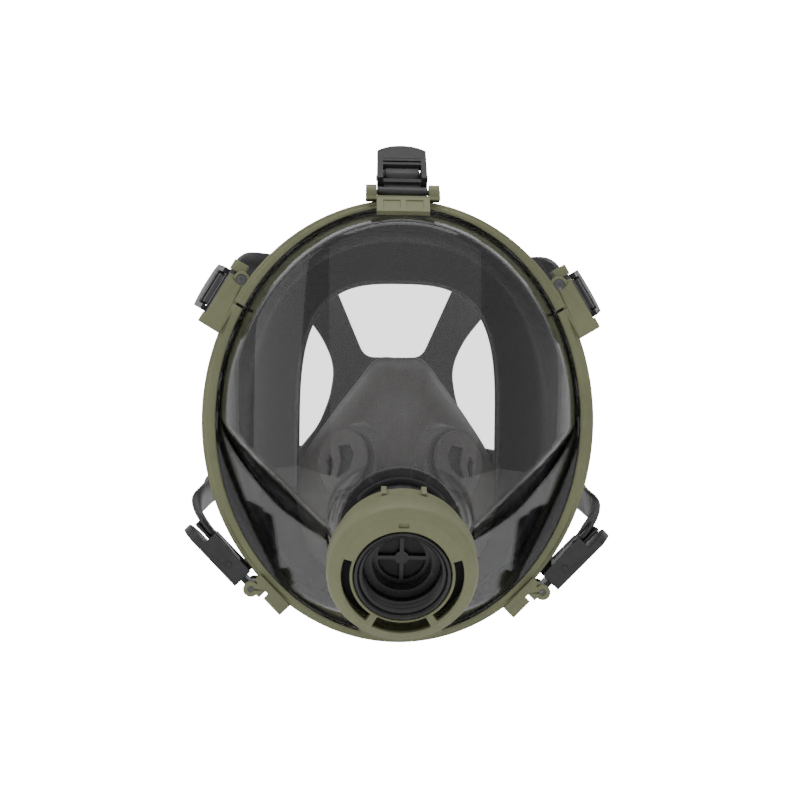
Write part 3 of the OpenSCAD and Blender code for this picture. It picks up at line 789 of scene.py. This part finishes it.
def makeStrap(where, side):
    setup = straps[where]
    mirror = Vector((side, 1, 1))
    frameOf = buckleFrame(where, side)
    axis = frameOf[1]
    rootRoute = [Vector(p) * mirror for p in setup["route"]]
    buckleRoute = strapInBuckle(frameOf, setup["reach"])
    # even spacing along the path
    path = []
    for p in curveThrough(rootRoute + buckleRoute, strap["steps"]):
        if not path or (p - path[-1]).length > strap["spacing"]:
            path.append(p)
    last = len(path) - 1
    inBuckle = max(i for i, p in enumerate(path)
                   if (p - buckleRoute[0]).length < 1.5)
    start = Vector(setup["from"]) * mirror
    endAcross = axis if start.dot(axis) > 0 else -axis
    rings = []
    travelled = 0.0
    for i, p in enumerate(path):
        if i:
            travelled += (p - path[i - 1]).length
        ahead = (path[min(last, i + 1)] - path[max(0, i - 1)]).normalized()
        f = smoothStep(i / inBuckle)
        rough = start.lerp(endAcross, f)
        across = (rough - ahead * rough.dot(ahead)).normalized()
        up = ahead.cross(across)
        w = strap["width"] / 2
        w += strap["root"] * (1 - smoothStep(i / (strap["rootShare"] * inBuckle)))
        t = strap["thick"] / 2
        if i > inBuckle:
            t *= strap["thinInBuckle"]
        ribbed = strap["ribsInBuckle"]
        if i < inBuckle:
            ribbed = smoothStep((i / inBuckle - strap["ribsFrom"]) / strap["ribsGrow"])
        wave = max(0.0, math.sin(2 * math.pi * travelled / strap["ribPitch"]))
        rib = strap["ribHeight"] * ribbed * wave
        if i == last or i == 0:
            w, t = w * 0.96, t * 0.6
        # one half of the section, with a bead along its edge, and then its mirror image
        bead = t + strap["bead"]
        half = [(w - 0.5, -t), (w, -t * 0.5), (w, t * 0.6), (w - 0.7, bead),
                (w - 1.8, bead), (w - 2.4, t + rib)]
        section = half + [(0, t + rib)] + [(-a, b) for a, b in half[::-1]]
        rings.append([p + across * a + up * b for a, b in section])
    hand = "" if where == "top" else ("Left" if side < 0 else "Right")
    node = where + ("_" + hand.lower() if hand else "")
    piece = makePiece("strap" + where.capitalize() + hand, ringTube(rings), None,
                      materials["black_rubber"],
                      ["strap_" + node, "strap_end_" + node], smooth=50)
    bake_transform(piece)
    return piece


for where, side in (("top", 1), ("temple", -1), ("temple", 1), ("cheek", -1), ("cheek", 1)):
    makeStrap(where, side)
print("straps made")

# harness plate: an outline down its right side, bent round the head by the radius bend
# sliced is where it is cut across, so that it can bend
plate = {"y": 163.0, "bend": 95.0, "thick": 2.4, "edge": 0.8, "round": 6.0,
         "sliced": range(-64, 65, 4),
         "side": [(12, 102), (44, 98), (67, 93), (66, 75), (54, 62.5), (42, 47),
                  (36.5, 35), (35, 26), (37, 12), (43, -4), (53, -17), (58, -21),
                  (58, -35), (46, -29), (26, 0)],
         "window": [(-17, 36), (17, 36), (38, 84), (-38, 84)]}


# the flat X with its window, given a thickness and soft edges, then bent round the head
def makePlate():
    outer = plate["side"] + [(-x, z) for x, z in plate["side"][::-1]]
    bm = filledOutline([roundCorners([(x, 0, z) for x, z in outline], [plate["round"]], 5)
                        for outline in (outer, plate["window"])])
    for x in plate["sliced"]:
        bmesh.ops.bisect_plane(bm, geom=bm.verts[:] + bm.edges[:] + bm.faces[:],
                               plane_co=(x * mm, 0, 0), plane_no=(1, 0, 0))
    thicken(bm, (0, plate["thick"], 0), plate["edge"])
    bend = plate["bend"] * mm
    for v in bm.verts:
        swing = math.asin(v.co.x / bend)
        r = bend - plate["thick"] * mm + v.co.y
        v.co = Vector((r * math.sin(swing), plate["y"] * mm - bend + r * math.cos(swing),
                       v.co.z))
    return makePiece("harnessPlate", bm, "mask",
                     materials["black_rubber"], ["harness_plate"], smooth=50)


makePlate()
print("harness plate made")

# carried-over parts: materials and softened edges

edgeRadius = {"olive_plastic": 0.5, "charcoal_plastic": 0.45, "black_plastic": 0.3,
              "valve_rubber": 0.2, "dark_steel": 0.15, "black_rubber": 0.2}
slotOf = {row["node"]: row["material_slot"] for row in frame["record"]["subparts"]}
replaced = {"visor", "rim_upper", "rim_lower", "face_seal", "inner_mask",
            "harness_plate", "valve_cage_left", "valve_cage_right", "thread_insert"}
for node, part in frame["nodes"].items():
    if node in replaced or node.startswith("strap_"):
        continue
    slot = slotOf[node]
    for holder in part.material_slots:
        holder.material = materials[slot]
    weld = part.modifiers.new("weld", "WELD")
    weld.merge_threshold = 0.005 * mm
    bevel = part.modifiers.new("softEdges", "BEVEL")
    bevel.width = edgeRadius[slot] * mm
    bevel.segments = 2
    bevel.limit_method = "ANGLE"
    bevel.angle_limit = math.radians(38)
    bevel.use_clamp_overlap = True
    bevel.harden_normals = True
    bevel.profile = 0.5
print("carried-over parts finished")

# stage, light and camera

studio = {"floor": -0.165, "back": 0.9, "width": 3.0, "front": -1.6, "bend": 0.5,
          "height": 2.2, "white": (16, 16, 16, 1), "pale": (1.8, 1.74, 1.8, 1),
          "dim": (0.3, 0.3, 0.3, 1), "mirrored": (0.5, 0.5, 0.5, 1)}


# white to the eye, pale through the lens, mirrored in gloss, and dim to everything else
def rayColors(tree):
    ray = addNode(tree, "ShaderNodeLightPath", (-700, 0))
    seen = addNode(tree, "ShaderNodeMix", (-450, 100), data_type="RGBA")
    through = addNode(tree, "ShaderNodeMix", (-450, -150), data_type="RGBA")
    through.inputs["B"].default_value = studio["pale"]
    seen.inputs["B"].default_value = studio["white"]
    glossy = addNode(tree, "ShaderNodeMix", (-700, -300), data_type="RGBA")
    glossy.inputs["A"].default_value = studio["dim"]
    glossy.inputs["B"].default_value = studio["mirrored"]
    # a ray counts as looking through the lens only if nothing has bounced it before
    bounces = addNode(tree, "ShaderNodeMath", (-700, 250), operation="ADD")
    direct = addNode(tree, "ShaderNodeMath", (-500, 350), operation="LESS_THAN")
    direct.inputs[1].default_value = 0.5
    looking = addNode(tree, "ShaderNodeMath", (-300, 350), operation="MULTIPLY")
    tree.links.new(ray.outputs["Diffuse Depth"], bounces.inputs[0])
    tree.links.new(ray.outputs["Glossy Depth"], bounces.inputs[1])
    tree.links.new(bounces.outputs[0], direct.inputs[0])
    tree.links.new(direct.outputs[0], looking.inputs[0])
    tree.links.new(ray.outputs["Is Transmission Ray"], looking.inputs[1])
    tree.links.new(ray.outputs["Is Glossy Ray"], glossy.inputs["Factor"])
    tree.links.new(glossy.outputs["Result"], through.inputs["A"])
    tree.links.new(looking.outputs[0], through.inputs["Factor"])
    tree.links.new(ray.outputs["Is Camera Ray"], seen.inputs["Factor"])
    tree.links.new(through.outputs["Result"], seen.inputs["A"])
    return seen.outputs["Result"]


def makeStage():
    profile = [(studio["front"], studio["floor"])]
    for i in range(13):
        s, c = sinCos(90 * i / 12)
        profile.append((studio["back"] + studio["bend"] * s,
                        studio["floor"] + studio["bend"] * (1 - c)))
    profile.append((studio["back"] + studio["bend"], studio["floor"] + studio["height"]))
    bm = bmesh.new()
    bmesh.ops.create_grid(bm, x_segments=1, y_segments=len(profile) - 1, size=0.5)
    for v in bm.verts:
        y, z = profile[round((v.co.y + 0.5) * (len(profile) - 1))]
        v.co = Vector((v.co.x * 2 * studio["width"], y, z))
    mesh = bpy.data.meshes.new("backdrop")
    bm.to_mesh(mesh)
    bm.free()
    mesh.shade_smooth()
    backdrop = bpy.data.objects.new("backdrop", mesh)
    bpy.context.scene.collection.objects.link(backdrop)
    paper = bpy.data.materials.new("paper")
    paper.use_nodes = True
    tree = paper.node_tree
    shader = tree.nodes["Principled BSDF"]
    shader.inputs["Base Color"].default_value = (0.8, 0.8, 0.8, 1)
    shader.inputs["Roughness"].default_value = 0.9
    shader.inputs["Emission Strength"].default_value = 1.0
    tree.links.new(rayColors(tree), shader.inputs["Emission Color"])
    mesh.materials.append(paper)


def addLight(name, at, target, size, power):
    data = bpy.data.lights.new(name, "AREA")
    data.shape = "RECTANGLE"
    data.size, data.size_y = size
    data.energy = power
    light = bpy.data.objects.new(name, data)
    light.location = at
    light.rotation_euler = (Vector(target) - Vector(at)).to_track_quat("-Z", "Y").to_euler()
    light.visible_transmission = False  # else it would light what is behind the lens twice
    bpy.context.scene.collection.objects.link(light)


makeStage()
addLight("front", (0.1, -1.7, 0.45), (0, 0, 0), (3.6, 2.0), 12)
addLight("overhead", (0, -0.25, 1.25), (0, 0, 0), (1.6, 1.0), 13)
addLight("leftSide", (-1.2, -0.2, 0.3), (0, 0, 0), (0.8, 1.2), 3)
world = bpy.data.worlds.new("studio")
world.use_nodes = True
background = world.node_tree.nodes["Background"]
world.node_tree.links.new(rayColors(world.node_tree), background.inputs["Color"])
bpy.context.scene.world = world

cameraSetup = {"distance": 1.0, "yaw": 1.6, "height": 0.0108, "lens": 87.75, "roll": 0.8}
cameraData = bpy.data.cameras.new("camera")
cameraData.lens = cameraSetup["lens"]
cameraData.sensor_width = 36
camera = bpy.data.objects.new("camera", cameraData)
s, c = sinCos(cameraSetup["yaw"])
camera.location = (-cameraSetup["distance"] * s, -cameraSetup["distance"] * c,
                   cameraSetup["height"])
aim = Matrix.Rotation(-math.radians(cameraSetup["yaw"]), 4, "Z") @ Matrix.Rotation(
    math.radians(90), 4, "X") @ Matrix.Rotation(math.radians(cameraSetup["roll"]), 4, "Z")
camera.rotation_euler = aim.to_euler()
bpy.context.scene.collection.objects.link(camera)
bpy.context.scene.camera = camera
print("stage, light and camera set")
